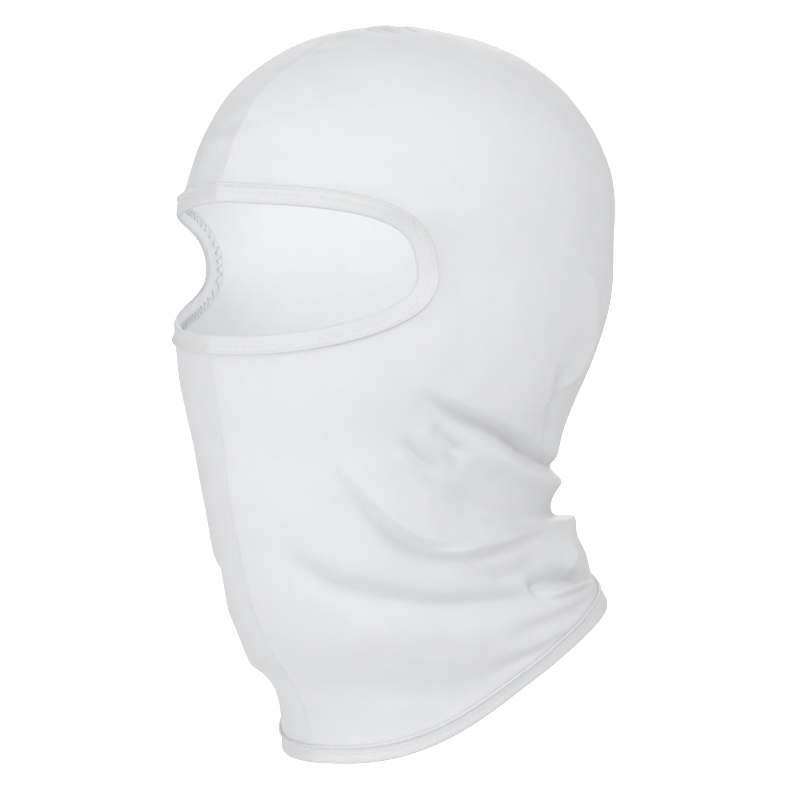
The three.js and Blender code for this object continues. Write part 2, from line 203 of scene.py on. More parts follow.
# Short puckers that run out from the seam over the crown, as (x, y) of their two ends on the left.
CROWN_PUCKERS = [
    dict(start=(0.5, -50), end=(13, -46), height=-0.8, width=1.8),
    dict(start=(0.5, -44), end=(15, -38), height=0.7, width=2.0),
    dict(start=(0.5, -38), end=(13, -33), height=-0.7, width=1.8),
    dict(start=(0.5, -21), end=(20, -25), height=-1.2, width=1.7),
    dict(start=(0.5, -15), end=(23, -18), height=-1.7, width=1.6),
    dict(start=(0.5, -10), end=(22, -12), height=0.9, width=2.2),
    dict(start=(0.5, -5), end=(23, -7), height=-1.5, width=1.6),
    dict(start=(0.5, 2), end=(17, 2), height=0.5, width=2.2),
    dict(start=(0.5, 8), end=(16, 9), height=-0.7, width=2.0),
    dict(start=(0.5, 18), end=(14, 21), height=-0.6, width=2.4),
]
# The right's puckers are softer, and their two ends lie this much further back.
RIGHT_PUCKERS = dict(share=0.5, start_back=5, end_back=3)

# ---- The cloth surface ----


def through_levels(column):
    """A smooth curve through one column of LEVELS, level at both ends."""
    heights, values = LEVELS[:, 0], LEVELS[:, column]
    slopes = np.zeros(len(values))
    slopes[1:-1] = (values[:-2] - values[2:]) / (heights[:-2] - heights[2:])

    def curve(z):
        z = np.clip(z, heights[-1], heights[0])
        i = np.clip(np.searchsorted(-heights, -z, side="right") - 1, 0, len(values) - 2)
        span = heights[i + 1] - heights[i]
        t = (z - heights[i]) / span
        return (
            (2 * t**3 - 3 * t**2 + 1) * values[i]
            + (t**3 - 2 * t**2 + t) * span * slopes[i]
            + (3 * t**2 - 2 * t**3) * values[i + 1]
            + (t**3 - t**2) * span * slopes[i + 1]
        )

    return curve


front_at, back_at, half_at, widest_at = (through_levels(column) for column in (1, 2, 3, 4))


def ramp(value, start, end):
    """Rises smoothly from 0 at start to 1 at end, and start may be the greater."""
    value = np.clip((value - start) / (end - start), 0, 1)
    return value * value * (3 - 2 * value)


def swell(value, middle, width):
    """A smooth bump that is 1 in the middle."""
    return np.exp(-(((value - middle) / width) ** 2))


def running_length(points):
    """The length of a line of points up to each of them."""
    return np.concatenate([[0], np.cumsum(np.linalg.norm(np.diff(points, axis=0), axis=1))])


def hem_z(angle):
    """The height of the hem's edge."""
    from_front = np.degrees(np.arccos(np.cos(angle)))
    rises = sum(rise * swell(from_front, at, width) for at, width, rise in HEM_RISES)
    return HEM["mean"] - HEM["swing"] * np.cos(angle) + HEM["fullness"] * np.cos(3 * angle) + rises


def crown_shrink(z):
    """How much of the brow's size a level has: all of it up to the brow, and none at the top."""
    rise = np.clip((z - BROW_Z) / (CROWN_Z - BROW_Z), 0, 1)
    return np.maximum(1 - rise**CROWN_POWER, 0) ** (1 / CROWN_POWER)


def side_hollow(angle, z, depth, middle, across, middle_z, tall):
    """A hollow's depth, with its middle at one angle to each side and at one height."""
    return depth * swell(np.abs(angle), middle, across) * swell(z, middle_z, tall)


def smooth_base(angle, z):
    """The outer face with no folds, as an array of points."""
    level, shrink = np.minimum(z, BROW_Z), crown_shrink(z)
    widest = widest_at(level)
    depth = np.where(np.cos(angle) > 0, widest - front_at(level), back_at(level) - widest)
    x = shrink * half_at(level) * np.sin(angle)
    y = shrink * (widest - depth * np.cos(angle)) - (1 - shrink) * CROWN_FORWARD
    y = y + side_hollow(angle, z, **TEMPLE)
    return np.stack([x, y, z + 0 * angle], axis=-1)


def base_normal(angle, z):
    """The smooth face's outward direction, which near the very top is taken from just below."""
    turn, lift = 0.01, 0.25
    z = np.minimum(z, CROWN_Z - 0.3)
    along = smooth_base(angle + turn, z) - smooth_base(angle - turn, z)
    up = smooth_base(angle, z + lift) - smooth_base(angle, z - lift)
    normal = np.cross(along, up)
    return normal / np.linalg.norm(normal, axis=-1, keepdims=True)


def front_angle(x, z):
    """The angle of the point of the front that lies at x, z in the front view."""
    return np.arcsin(np.clip(x / (half_at(np.minimum(z, BROW_Z)) * crown_shrink(z)), -1, 1))


# ---- The eye opening's edge ----


def eye_sag(x, z):
    """The hood sits a little askew: the opening hangs lower on the wearer's right."""
    upper_edge = EYE_SAG * ramp(x, 8, -48) * ramp(z, EYE_END_Z, EYE_END_Z + 25)
    far_end = EYE_END_DROP * ramp(x, -25, -55) * swell(z, EYE_END_Z, 15)
    return upper_edge + far_end


def eye_half(upper):
    """The power and the height of the opening's upper or lower half."""
    power = np.where(upper, EYE_TOP["power"], EYE_BOTTOM["power"])
    return power, np.where(upper, EYE_TOP["height"], EYE_BOTTOM["height"])


def eye_outline(count):
    """Evenly spaced x and z round the eye opening, from the left end over the top, and its length."""
    turn = np.linspace(0, 2 * np.pi, 4001)[:-1]
    c, s = np.cos(turn), np.sin(turn)
    power, height = eye_half(s > 0)
    x = EYE_HALF_WIDTH * np.sign(c) * np.abs(c) ** (2 / power)
    z = EYE_END_Z + height * np.sign(s) * np.abs(s) ** (2 / power)
    z -= eye_sag(x, z)
    x, z = np.append(x, x[0]), np.append(z, z[0])
    length = running_length(smooth_base(front_angle(x, z), z))
    wanted = np.linspace(0, length[-1], count + 1)[:-1]
    return np.interp(wanted, length, x), np.interp(wanted, length, z), length[-1]


EYE_X, EYE_Z, EYE_LENGTH = eye_outline(count=480)
EYE_POINTS = smooth_base(front_angle(EYE_X, EYE_Z), EYE_Z)
# Heights beyond which the opening is too far off to matter, and the distance given there.
NEAR_EYE = (-60, 90)
FAR_AWAY = 200.0


def eye_distance(angle, z):
    """Signed distance from the eye opening's edge, negative inside it."""
    shape = np.broadcast(angle, z).shape
    points = smooth_base(angle, z).reshape(-1, 3)
    distance = np.full(len(points), FAR_AWAY)
    near = (points[:, 1] < 0) & (points[:, 2] > NEAR_EYE[0]) & (points[:, 2] < NEAR_EYE[1])
    chosen = points[near]
    best = np.full(len(chosen), np.inf)
    for block in np.array_split(np.arange(len(EYE_POINTS)), 12):
        gaps = chosen[:, None, :] - EYE_POINTS[None, block, :]
        best = np.minimum(best, np.sqrt((gaps**2).sum(-1)).min(1))
    power, height = eye_half(chosen[:, 2] > EYE_END_Z)
    size = (np.abs(chosen[:, 0]) / EYE_HALF_WIDTH) ** power
    lifted = chosen[:, 2] + eye_sag(chosen[:, 0], chosen[:, 2])
    size = size + (np.abs(lifted - EYE_END_Z) / height) ** power
    distance[near] = np.where(size < 1, -best, best)
    return distance.reshape(shape)


# ---- Folds ----

# What turns an angle into millimetres of cloth, and how a fold's height falls off across its width.
FOLD_RADIUS = 80.0
FOLD_POWER = 1.7
# A fold is left out this many widths away from it, and it rounds off this far past its ends.
FOLD_REACH = 3.2
FOLD_TIP = 8
# The sine of the angle from the front over which the two sides' folds blend.
FRONT_BLEND = 0.12
# Both sides' folds come to half strength between these angles, so that they meet at the back.
BACK_BLEND = (2.7, 3.0)


def through_points(points, per_span=14):
    """A smooth line through points, as a denser array (Catmull-Rom)."""
    points = np.array(points, dtype=float)
    padded = np.vstack([2 * points[0] - points[1], points, 2 * points[-1] - points[-2]])
    t = np.linspace(0, 1, per_span, endpoint=False)[:, None]
    spans = []
    for a, b, c, d in zip(padded[:-3], padded[1:-2], padded[2:-1], padded[3:]):
        square, cube = 2 * a - 5 * b + 4 * c - d, 3 * b - a - 3 * c + d
        spans.append(0.5 * (2 * b + (c - a) * t + square * t**2 + cube * t**3))
    return np.vstack([*spans, points[-1]])


def fold_offset(u, w, line, height, above, below, ends=(0, 0), fades=(0.35, 0.35)):
    """How far one fold moves the cloth at u round the head and height w, along a line of (u, w)."""
    reach = FOLD_REACH * max(above, below)
    low, high = line.min(0) - reach, line.max(0) + reach
    inside = (u > low[0]) & (u < high[0]) & (w > low[1]) & (w < high[1])
    offset = np.zeros(u.shape)
    if not inside.any():
        return offset
    points = np.stack([u[inside], w[inside]], axis=-1)
    tangents = np.gradient(line, axis=0)
    tangents = tangents / np.linalg.norm(tangents, axis=1, keepdims=True)
    gaps = points[:, None, :] - line[None]
    nearest = (gaps**2).sum(-1).argmin(1)
    rows = np.arange(len(points))
    gap, tangent = gaps[rows, nearest], tangents[nearest]
    across = tangent[:, 0] * gap[:, 1] - tangent[:, 1] * gap[:, 0]
    past = np.abs((tangent * gap).sum(1))
    width = np.where(across > 0, above, below)
    share = nearest / (len(line) - 1)
    fade = np.minimum(
        ends[0] + (1 - ends[0]) * ramp(share, 0, fades[0]),
        ends[1] + (1 - ends[1]) * ramp(share, 1, 1 - fades[1]),
    )
    profile = np.exp(-((np.abs(across) / width) ** FOLD_POWER)) * swell(past, 0, FOLD_TIP)
    offset[inside] = height * fade * profile
    return offset


def folds(angle, z):
    """The offset that all the folds of both sides give."""
    total = np.zeros(np.broadcast(angle, z).shape)
    angle = angle + 0 * total
    z = z + 0 * total
    behind = ramp(np.abs(angle), *BACK_BLEND)
    right = [fold for fold in FOLDS if fold.get("both", True)] + RIGHT_FOLDS
    for side, size, drop, lines in ((1, 1.0, 0.0, FOLDS), (-1, RIGHT_SHARE, RIGHT_DROP, right)):
        round_head = np.mod(side * angle + np.pi / 2, 2 * np.pi) - np.pi / 2
        share = ramp(side * np.sin(angle), -FRONT_BLEND, FRONT_BLEND)
        share = share * (1 - behind) + 0.5 * behind
        for fold in lines:
            line = through_points([(np.radians(a) * FOLD_RADIUS, h - drop) for a, h in fold["route"]])
            shape = {key: value for key, value in fold.items() if key not in ("route", "both", "right")}
            strength = size * (fold.get("right", 1.0) if side < 0 else 1.0)
            total += strength * share * fold_offset(round_head * FOLD_RADIUS, z, line, **shape)
    return total


def crown_puckers(points, side):
    """The offset that the puckers beside the crown's seam give, on one side."""
    total = np.zeros(points.shape[:-1])
    for pucker in CROWN_PUCKERS:
        start, end, size = np.array(pucker["start"], float), np.array(pucker["end"], float), 1.0
        if side < 0:
            start[1] += RIGHT_PUCKERS["start_back"]
            end[1] += RIGHT_PUCKERS["end_back"]
            size = RIGHT_PUCKERS["share"]
        run = end - start
        length = np.linalg.norm(run)
        gap = np.stack([side * points[..., 0], points[..., 1]], axis=-1) - start
        along = (gap @ run) / length
        across = (run[0] * gap[..., 1] - run[1] * gap[..., 0]) / length
        share = along / length
        fade = ramp(share, -0.25, 0.1) * ramp(share, 1, 0.3)
        fade = fade * ramp(np.abs(points[..., 0]), 0, 4) * (points[..., 2] > BROW_Z)
        total += size * pucker["height"] * fade * swell(across, 0, pucker["width"])
    return total


def waviness(points):
    """Small unevenness, a sum of slow waves in different directions."""
    total = np.zeros(points.shape[:-1])
    generator = np.random.default_rng(3)
    for wavelength, size in ((70, 0.25), (45, 0.13), (28, 0.07), (19, 0.04)):
        for _ in range(3):
            direction = generator.normal(size=3)
            direction *= 2 * np.pi / wavelength / np.linalg.norm(direction)
            total += size * np.sin(points @ direction + generator.uniform(0, 2 * np.pi))
    return total


def rim_offset(eye_gap, angle, hem_gap):
    """How the two bound edges stand away from the smooth shape."""
    temple = swell(np.abs(angle), **RIM_TEMPLE)
    lean = np.where(angle > 0, EYE_RIM["lean_left"], EYE_RIM["lean_right"])
    lift = EYE_RIM["lift"] - EYE_RIM["less_at_temple"] * temple
    lift = lift * np.exp(-np.maximum(eye_gap - BINDING_WIDTH, 0) / EYE_RIM["settle"])
    dip = (EYE_RIM["dip"] + lean * temple) * ramp(eye_gap, BINDING_WIDTH, 0)
    eye = np.where(eye_gap < 60, lift - dip, 0)
    corner = swell(np.abs(angle), **HEM_CORNER)
    flare = (HEM_FLARE["even"] + HEM_FLARE["corner"] * corner) * ramp(hem_gap, HEM_FLARE["tall"], 0)
    return eye + flare


def forehead_draw(eye_gap, angle, z):
    """How far the forehead is drawn in, above the eye opening's binding and below the crown."""
    beside = swell(np.abs(angle), FOREHEAD["middle"], FOREHEAD["across"])
    above_binding = ramp(eye_gap, 4.5, 9.5) * ramp(z, 36, 46)
    return FOREHEAD["depth"] * beside * above_binding * ramp(z, 100, 55)


def cloth_offset(angle, z):
    """The whole offset of the outer face from the smooth shape."""
    points = smooth_base(angle, z)
    eye_gap = eye_distance(angle, z)
    hem_gap = z - hem_z(angle)
    all_folds = folds(angle, z)
    loose = ramp(eye_gap, *LOOSE_FROM_EYE) * ramp(hem_gap, *LOOSE_FROM_HEM)
    level = 1 - 0.35 * ramp(z, 20, -40) - 0.8 * ramp(z, 72, 108)
    keel = KEEL["height"] * level * np.exp(-np.abs(points[..., 0]) / KEEL["width"])
    puckers = np.where(angle < 0, crown_puckers(points, -1), crown_puckers(points, 1))
    offset = keel + loose * (all_folds + waviness(points)) + puckers
    offset -= (angle < 0) * side_hollow(angle, z, **RIGHT_TEMPLE)
    offset -= forehead_draw(eye_gap, angle, z)
    offset += (1 - loose) * HEM_FOLDS * all_folds * (hem_gap < 20)
    return offset + rim_offset(eye_gap, angle, hem_gap)


def cloth(angle, z, out=0.0):
    """Points on the worn cloth, or that far out of it."""
    offset = cloth_offset(angle, z) + out
    return smooth_base(angle, z) + base_normal(angle, z) * offset[..., None]


# ---- Mesh helpers ----


def add_to_scene(name, data):
    """A new object in the scene."""
    thing = bpy.data.objects.new(name, data)
    bpy.context.scene.collection.objects.link(thing)
    return thing


def add_mesh(name, points, faces, material):
    """A smooth-shaded piece from points in millimetres."""
    mesh = bpy.data.meshes.new(name)
    mesh.from_pydata((np.asarray(points) * MM).tolist(), [], [list(map(int, face)) for face in faces])
    mesh.update()
    mesh.materials.append(material)
    mesh.polygons.foreach_set("use_smooth", np.ones(len(mesh.polygons), dtype=bool))
    return add_to_scene(name, mesh)


def tidy(piece, merge=0.001, outwards=True):
    """Merges points within that many millimetres, drops loose ones and turns the faces outwards."""
    work = bmesh.new()
    work.from_mesh(piece.data)
    bmesh.ops.remove_doubles(work, verts=work.verts, dist=merge * MM)
    loose = [vertex for vertex in work.verts if not vertex.link_faces]
    bmesh.ops.delete(work, geom=loose, context="VERTS")
    if outwards:
        bmesh.ops.recalc_face_normals(work, faces=work.faces)
    work.to_mesh(piece.data)
    work.free()
    piece.data.update()


def ring_faces(rings, count, closed):
    """Quads between equal rings of points."""
    faces = []
    for r in range(rings if closed else rings - 1):
        low, high = r * count, ((r + 1) % rings) * count
        for i in range(count):
            j = (i + 1) % count
            faces.append((low + i, low + j, high + j, high + i))
    return faces


# A direction that no thread runs along, which says where the points of a tube's section start.
TUBE_GUIDE = (0.31, 0.17, 0.93)


def tube(paths, radius, sides, closed):
    """Points and faces of a round tube along each path, with narrowed ends where it is open."""
    all_points, all_faces, start = [], [], 0
    turn = np.linspace(0, 2 * np.pi, sides, endpoint=False)[None, :, None]
    for path in paths:
        if closed:
            tangents = np.roll(path, -1, axis=0) - np.roll(path, 1, axis=0)
        else:
            tangents = np.gradient(path, axis=0)
        tangents /= np.linalg.norm(tangents, axis=1, keepdims=True)
        across = np.cross(tangents, TUBE_GUIDE)
        across /= np.linalg.norm(across, axis=1, keepdims=True)
        over = np.cross(tangents, across)
        size = np.full(len(path), radius)
        if not closed:
            size[[0, -1]] = 0.35 * radius
        circle = across[:, None] * np.cos(turn) + over[:, None] * np.sin(turn)
        all_points.append((path[:, None] + circle * size[:, None, None]).reshape(-1, 3))
        all_faces += [tuple(start + i for i in face) for face in ring_faces(len(path), sides, closed)]
        end = start + len(path) * sides
        if not closed:
            all_faces.append(tuple(range(start, start + sides)))
            all_faces.append(tuple(reversed(range(end - sides, end))))
        start = end
    return np.vstack(all_points), all_faces


# ---- Materials ----

# Blender's wave texture turns by this many radians over one unit when its scale is 1.
WAVE_RADIANS = 20


def new_material(name):
    """A material with its nodes, its links and its main shader."""
    material = bpy.data.materials.new(name)
    material.use_nodes = True
    nodes = material.node_tree.nodes
    return material, nodes, material.node_tree.links, nodes["Principled BSDF"]


def set_inputs(node, **values):
    """Sets a node's inputs, whose names are given in small letters with underscores."""
    for socket in node.inputs:
        key = socket.name.lower().replace(" ", "_")
        if key in values:
            socket.default_value = values.pop(key)
    if values:
        raise KeyError(f"{node.name} has no input {sorted(values)}")
    return node


def wave(nodes, direction, **values):
    """A texture of parallel bands."""
    texture = set_inputs(nodes.new("ShaderNodeTexWave"), **values)
    texture.bands_direction = direction
    return texture


def add_share(nodes, links, added, share, to):
    """The value to, plus a share of the value added."""
    total = nodes.new("ShaderNodeMath")
    total.operation = "MULTIPLY_ADD"
    links.new(added, total.inputs[0])
    total.inputs[1].default_value = share
    links.new(to, total.inputs[2])
    return total.outputs["Value"]


def raise_bumps(nodes, links, shader, height, strength, distance):
    """Puts a relief of that many millimetres on the main shader, and gives the normal it makes."""
    bump = set_inputs(nodes.new("ShaderNodeBump"), strength=strength, distance=distance * MM)
    links.new(height, bump.inputs["Height"])
    links.new(bump.outputs["Normal"], shader.inputs["Normal"])
    return bump.outputs["Normal"]


def shade_color(nodes, links, shader, pattern, color, darkest, span=(0, 1)):
    """The shader's colour, down to a darkest share of it where the pattern is low."""
    tint = nodes.new("ShaderNodeValToRGB")
    for element, position, share in zip(tint.color_ramp.elements, span, (darkest, 1)):
        element.position = position
        element.color = (*(share * c for c in color), 1)
    links.new(pattern, tint.inputs["Fac"])
    links.new(tint.outputs["Color"], shader.inputs["Base Color"])


def knit_material(name, color, translucent, wale=0.62, relief=0.05):
    """Fine stretch knit, a little uneven: wales and courses in millimetres of the cloth's UV map."""
    material, nodes, links, shader = new_material(name)
    uv = nodes.new("ShaderNodeUVMap")
    uv.uv_map = "cloth_mm"
    bands = 2 * np.pi / wale / WAVE_RADIANS
    wales = wave(nodes, "X", scale=bands, distortion=1.2, detail=1.0, detail_scale=0.6)
    courses = wave(nodes, "Y", scale=bands / 0.8, distortion=1.2, detail=1.0)
    grain = set_inputs(nodes.new("ShaderNodeTexNoise"), scale=1.1, detail=3.0)
    mottle = set_inputs(nodes.new("ShaderNodeTexNoise"), scale=0.09, detail=5.0)
    for texture in (wales, courses, grain, mottle):
        links.new(uv.outputs["UV"], texture.inputs["Vector"])
    knit = add_share(nodes, links, courses.outputs["Fac"], 0.5, to=wales.outputs["Fac"])
    uneven = add_share(nodes, links, grain.outputs["Fac"], 0.9, to=knit)
    normal = raise_bumps(nodes, links, shader, uneven, strength=0.55, distance=relief)
    shade_color(nodes, links, shader, mottle.outputs["Fac"], color, darkest=0.975, span=(0.32, 0.68))
    set_inputs(shader, roughness=0.52, specular_ior_level=0.35, sheen_weight=0.12, sheen_roughness=0.4)
    if translucent:
        through = set_inputs(nodes.new("ShaderNodeBsdfTranslucent"), color=(*color, 1))
        links.new(normal, through.inputs["Normal"])
        mix = nodes.new("ShaderNodeMixShader")
        mix.inputs["Fac"].default_value = translucent
        links.new(shader.outputs["BSDF"], mix.inputs[1])
        links.new(through.outputs["BSDF"], mix.inputs[2])
        links.new(mix.outputs["Shader"], nodes["Material Output"].inputs["Surface"])
    return material


def thread_material(name, color):
    """Twisted sewing thread, with painted shade in the grooves of its twist."""
    material, nodes, links, shader = new_material(name)
    place = nodes.new("ShaderNodeTexCoord")
    twist = wave(nodes, "DIAGONAL", scale=900, distortion=1.5)
    links.new(place.outputs["Object"], twist.inputs["Vector"])
    raise_bumps(nodes, links, shader, twist.outputs["Fac"], strength=0.5, distance=0.04)
    # The colour darkens where the twist's relief is low: painted shade in the grooves of the twist.
    shade_color(nodes, links, shader, twist.outputs["Fac"], color, darkest=0.93)
    set_inputs(shader, roughness=0.45, sheen_weight=0.2)
    return material


hood_cloth = knit_material("hood_fabric", (0.83, 0.835, 0.845), translucent=0.12)
binding_cloth = knit_material("binding_fabric", (0.72, 0.725, 0.735), translucent=0.0, relief=0.06)
white_thread = thread_material("sewing_thread", (0.80, 0.80, 0.805))
elastic_look = thread_material("elastic", (0.74, 0.73, 0.70))
label_look = knit_material("label_satin", (0.88, 0.88, 0.87), translucent=0.0, wale=0.3, relief=0.02)

# ---- The two side panels ----

# A panel's grid: columns from seam to seam, rows up to the brow, and rows over the crown.
COLUMNS, LOW_ROWS, CROWN_ROWS = 290, 215, 84
# About where round the head the columns are closest together, and how strongly they crowd there.
FOLDED_ANGLE = np.radians(100)
CROWDING = 0.16
# The columns that round the cloth into the seam, in degrees from it.
SEAM_COLUMNS = (0.22, 0.5)
# The seam allowances stop this far short of the bindings.
ALLOWANCE_STOP = 1.5


def side_columns():
    """Angles from the front seam to the back seam, closer together at the folds and at the seams."""
    even = np.linspace(0, np.pi, COLUMNS)
    angles = even - CROWDING * (np.sin(2 * (even - FOLDED_ANGLE)) + np.sin(2 * FOLDED_ANGLE))
    close = np.radians(SEAM_COLUMNS)
    return np.sort(np.concatenate([angles, close, np.pi - close]))


def panel_heights(angles):
    """The height of each row at each angle: even rows up to the brow, then those over the crown."""
    low = hem_z(angles) + PANEL_SETBACK
    share = np.linspace(0, 1, LOW_ROWS + 1)[:, None]
    crown_turn = np.linspace(0, np.pi / 2, CROWN_ROWS + 1)[1:]
    crown_z = BROW_Z + (CROWN_Z - BROW_Z) * np.sin(crown_turn) ** (2 / CROWN_POWER)
    return np.vstack([low + (BROW_Z - low) * share, np.repeat(crown_z[:, None], len(angles), axis=1)])


def into_hood(normals):
    """The directions into the hood, turned parallel to the middle plane."""
    inward = -normals
    inward[:, 0] = 0
    return inward / np.linalg.norm(inward, axis=1, keepdims=True)


def allowance(edge, normals):
    """A seam allowance's columns, turned in from a panel's edge."""
    return np.stack([edge + into_hood(normals) * depth for depth in ALLOWANCE_DEPTHS], axis=1)


def panel_quads(eye_gap, hem_gap):
    """A panel's faces: none inside the eye opening, and no allowances under the bindings."""
    flap_columns = len(ALLOWANCE_DEPTHS)
    margins = ((0, 0), (flap_columns, flap_columns))
    eye_gap, hem_gap = (np.pad(gap, margins, mode="edge") for gap in (eye_gap, hem_gap))
    flap = np.zeros(eye_gap.shape, dtype=bool)
    flap[:, :flap_columns] = flap[:, -flap_columns:] = True
    near_binding = np.minimum(eye_gap, hem_gap) < BINDING_WIDTH + ALLOWANCE_STOP
    away = (eye_gap < PANEL_SETBACK) | (flap & near_binding)
    keep = ~(away[:-1, :-1] | away[:-1, 1:] | away[1:, 1:] | away[1:, :-1])
    index = np.arange(away.size).reshape(away.shape)
    quads = np.stack([index[:-1, :-1], index[:-1, 1:], index[1:, 1:], index[1:, :-1]], axis=-1)
    return quads[keep]


def cloth_uv(points, side):
    """Millimetres along and up the cloth, counted from the middle of the side and from the brow."""
    along = np.cumsum(np.linalg.norm(np.diff(points, axis=1, prepend=points[:, :1]), axis=2), axis=1)
    up = np.cumsum(np.linalg.norm(np.diff(points, axis=0, prepend=points[:1]), axis=2), axis=0)
    middle = points.shape[1] // 2
    brow = np.abs(points[:, middle, 2] - BROW_Z).argmin()
    return np.stack([side * (along - along[:, middle, None]), up - up[brow]], axis=-1)


def set_uv(piece, uv):
    """Gives a piece the map that the knit follows, from one pair for each point."""
    layer = piece.data.uv_layers.new(name="cloth_mm")
    corners = np.empty(len(piece.data.loops), dtype=np.int32)
    piece.data.loops.foreach_get("vertex_index", corners)
    layer.data.foreach_set("uv", uv[corners].astype(np.float32).ravel())


def side_panel(name, side):
    """The cloth of one side, from the front seam to the back seam, with its seam allowances."""
    angles = side_columns()
    z = panel_heights(angles)
    angle = np.broadcast_to(side * angles, z.shape)
    blocks = np.array_split(np.arange(len(z)), 10)
    points = np.vstack([cloth(angle[block], z[block]) for block in blocks])
    normal = base_normal(angle, z)
    groove = SEAM_GROOVE["depth"] * swell(np.abs(points[..., 0]), 0, SEAM_GROOVE["width"])
    points -= normal * groove[..., None]
    points[..., 0] = side * np.maximum(np.abs(points[..., 0]), PLY_GAP)
    front_flap = allowance(points[:, 0], normal[:, 0])[:, ::-1]
    back_flap = allowance(points[:, -1], normal[:, -1])
    sheet = np.concatenate([front_flap, points, back_flap], axis=1)
    quads = panel_quads(eye_distance(angle, z), z - hem_z(angle))
    if side < 0:
        quads = quads[:, ::-1]
    piece = add_mesh(name, sheet.reshape(-1, 3), quads, hood_cloth)
    set_uv(piece, cloth_uv(sheet, side).reshape(-1, 2))
    tidy(piece, merge=0.02, outwards=False)
    shell = piece.modifiers.new("cloth", "SOLIDIFY")
    shell.thickness = CLOTH * MM
    shell.offset = -1
    shell.use_even_offset = False
    return piece


left_panel = side_panel("left_panel_cloth", 1)
right_panel = side_panel("right_panel_cloth", -1)

# ---- Bound edges ----

# The folded strip's section, as (away from the fold, out of the cloth): its outer face, back along the
# cloth to the inside of the fold, along the cloth's other face, and back along the inner face.
BAND_SECTION = [
    (0.0, -0.35), (0.12, 0.2), (0.5, 0.62), (1.3, 0.85), (2.4, 0.7), (3.5, 0.44), (4.35, 0.28),
    (5.0, 0.38), (5.7, 0.36), (6.2, 0.28), (6.7, 0.85), (7.15, 1.25), (7.55, 0.95), (7.75, 0.35),
    (7.7, 0.1), (6.0, 0.1), (4.0, 0.1), (3.0, 0.1), (2.0, 0.3), (0.8, 0.2), (0.6, -0.35),
    (0.8, -0.95), (2.0, -1.0), (3.0, -0.82), (5.0, -0.8), (7.6, -0.8), (7.75, -0.95), (7.6, -1.3),
    (6.35, -1.2), (5.4, -1.4), (4.35, -1.2), (2.8, -1.5), (1.2, -1.45), (0.4, -1.1),
]
# The elastic lies inside the binding, between its fold and the cloth's own edge.
ELASTIC_SECTION = [(0.9, 0.05), (2.7, 0.0), (2.75, -0.3), (2.7, -0.7), (0.9, -0.75), (0.85, -0.35)]
# How far from the fold the two rows of stitches lie, and how far past them the zigzag turns.
ROW_NEAR_FOLD, ROW_NEAR_EDGE = 4.35, 6.2
ZIGZAG_PAST = 0.3
# How far out of the cloth the stitches lie, how far their ends dip, and where the zigzag lies.
STITCH_SEAT, STITCH_DIP, ZIGZAG_OUT = 0.28, 0.42, -1.48
# How far a stitch slants away from the fold over half its length.
STITCH_SLANT = 0.12


def eye_edge(at):
    """(angle, z) of the eye opening's edge at a place on the ring of EYE_X and EYE_Z."""
    ring = np.arange(len(EYE_X) + 1)
    at = np.mod(at, len(EYE_X))
    x = np.interp(at, ring, np.append(EYE_X, EYE_X[0]))
    z = np.interp(at, ring, np.append(EYE_Z, EYE_Z[0]))
    return front_angle(x, z), z


def eye_place(position, away):
    """(angle, z) on the cloth beside the eye opening, at a share round it and a distance from it."""
    at = np.mod(position, 1) * len(EYE_X)
    angle, z = eye_edge(at)
    along = smooth_base(*eye_edge(at + 2)) - smooth_base(*eye_edge(at - 2))
    along /= np.linalg.norm(along, axis=-1, keepdims=True)
    aside = np.cross(along, base_normal(angle, z))
    aside /= np.linalg.norm(aside, axis=-1, keepdims=True)
    point = smooth_base(angle, z) + aside * away[..., None]
    return front_angle(point[..., 0], point[..., 2]), point[..., 2]


def hem_place(position, away):
    """(angle, z) on the cloth above the hem, at a share round it and a height above it."""
    angle = np.mod(position * 2 * np.pi + np.pi, 2 * np.pi) - np.pi
    return angle, hem_z(angle) + away


HEM_TURN = np.linspace(0, 1, 1441)
HEM_RUN = running_length(smooth_base(*hem_place(HEM_TURN, 0 * HEM_TURN)))


def hem_share(count):
    """Shares of the turn that are evenly spaced along the hem."""
    return np.interp(np.linspace(0, HEM_RUN[-1], count + 1)[:-1], HEM_RUN, HEM_TURN)


def eye_share(count):
    """Shares of the way round that are evenly spaced along the eye opening's edge."""
    return np.arange(count) / count


EYE_LOOP = dict(place=eye_place, share=eye_share, length=EYE_LENGTH)
HEM_LOOP = dict(place=hem_place, share=hem_share, length=HEM_RUN[-1])


def on_edge(loop, position, away, out):
    """Points beside a bound edge, out of the worn cloth."""
    position, away, out = np.broadcast_arrays(position, np.asarray(away, float), np.asarray(out, float))
    angle, z = loop["place"](position, away)
    return cloth(angle, z, out)


def band(name, loop, count, section=BAND_SECTION, material=binding_cloth):
    """A strip with that section all along a bound edge, in count steps."""
    section = np.array(section)
    share = loop["share"](count)
    points = on_edge(loop, share[:, None], section[None, :, 0], section[None, :, 1])
    piece = add_mesh(name, points.reshape(-1, 3), ring_faces(count, len(section), True), material)
    around = np.repeat(share * loop["length"], len(section))
    across = np.tile(running_length(section), count)
    set_uv(piece, np.stack([across, around], axis=-1))
    tidy(piece)
    return piece


def thread_piece(name, paths, radius, sides, closed=False):
    """White sewing thread along each path."""
    points, faces = tube(paths, radius, sides, closed)
    piece = add_mesh(name, points, faces, white_thread)
    tidy(piece)
    return piece


def needle_stitches(name, loop, away):
    """A row of separate stitches that sink into the band at their ends."""
    count = int(loop["length"] / STITCH_PITCH)
    share = loop["share"](count * PITCH_STEPS)
    reach = np.linspace(-1, 1, STITCH_STEPS)
    out = STITCH_SEAT + THREAD_RADIUS * 0.8 - STITCH_DIP * np.abs(reach) ** 3
    paths = []
    for first in range(0, count * PITCH_STEPS, PITCH_STEPS):
        position = share[first + np.arange(STITCH_STEPS)]
        paths.append(on_edge(loop, position, away + STITCH_SLANT * reach, out))
    return thread_piece(name, paths, THREAD_RADIUS, sides=6)


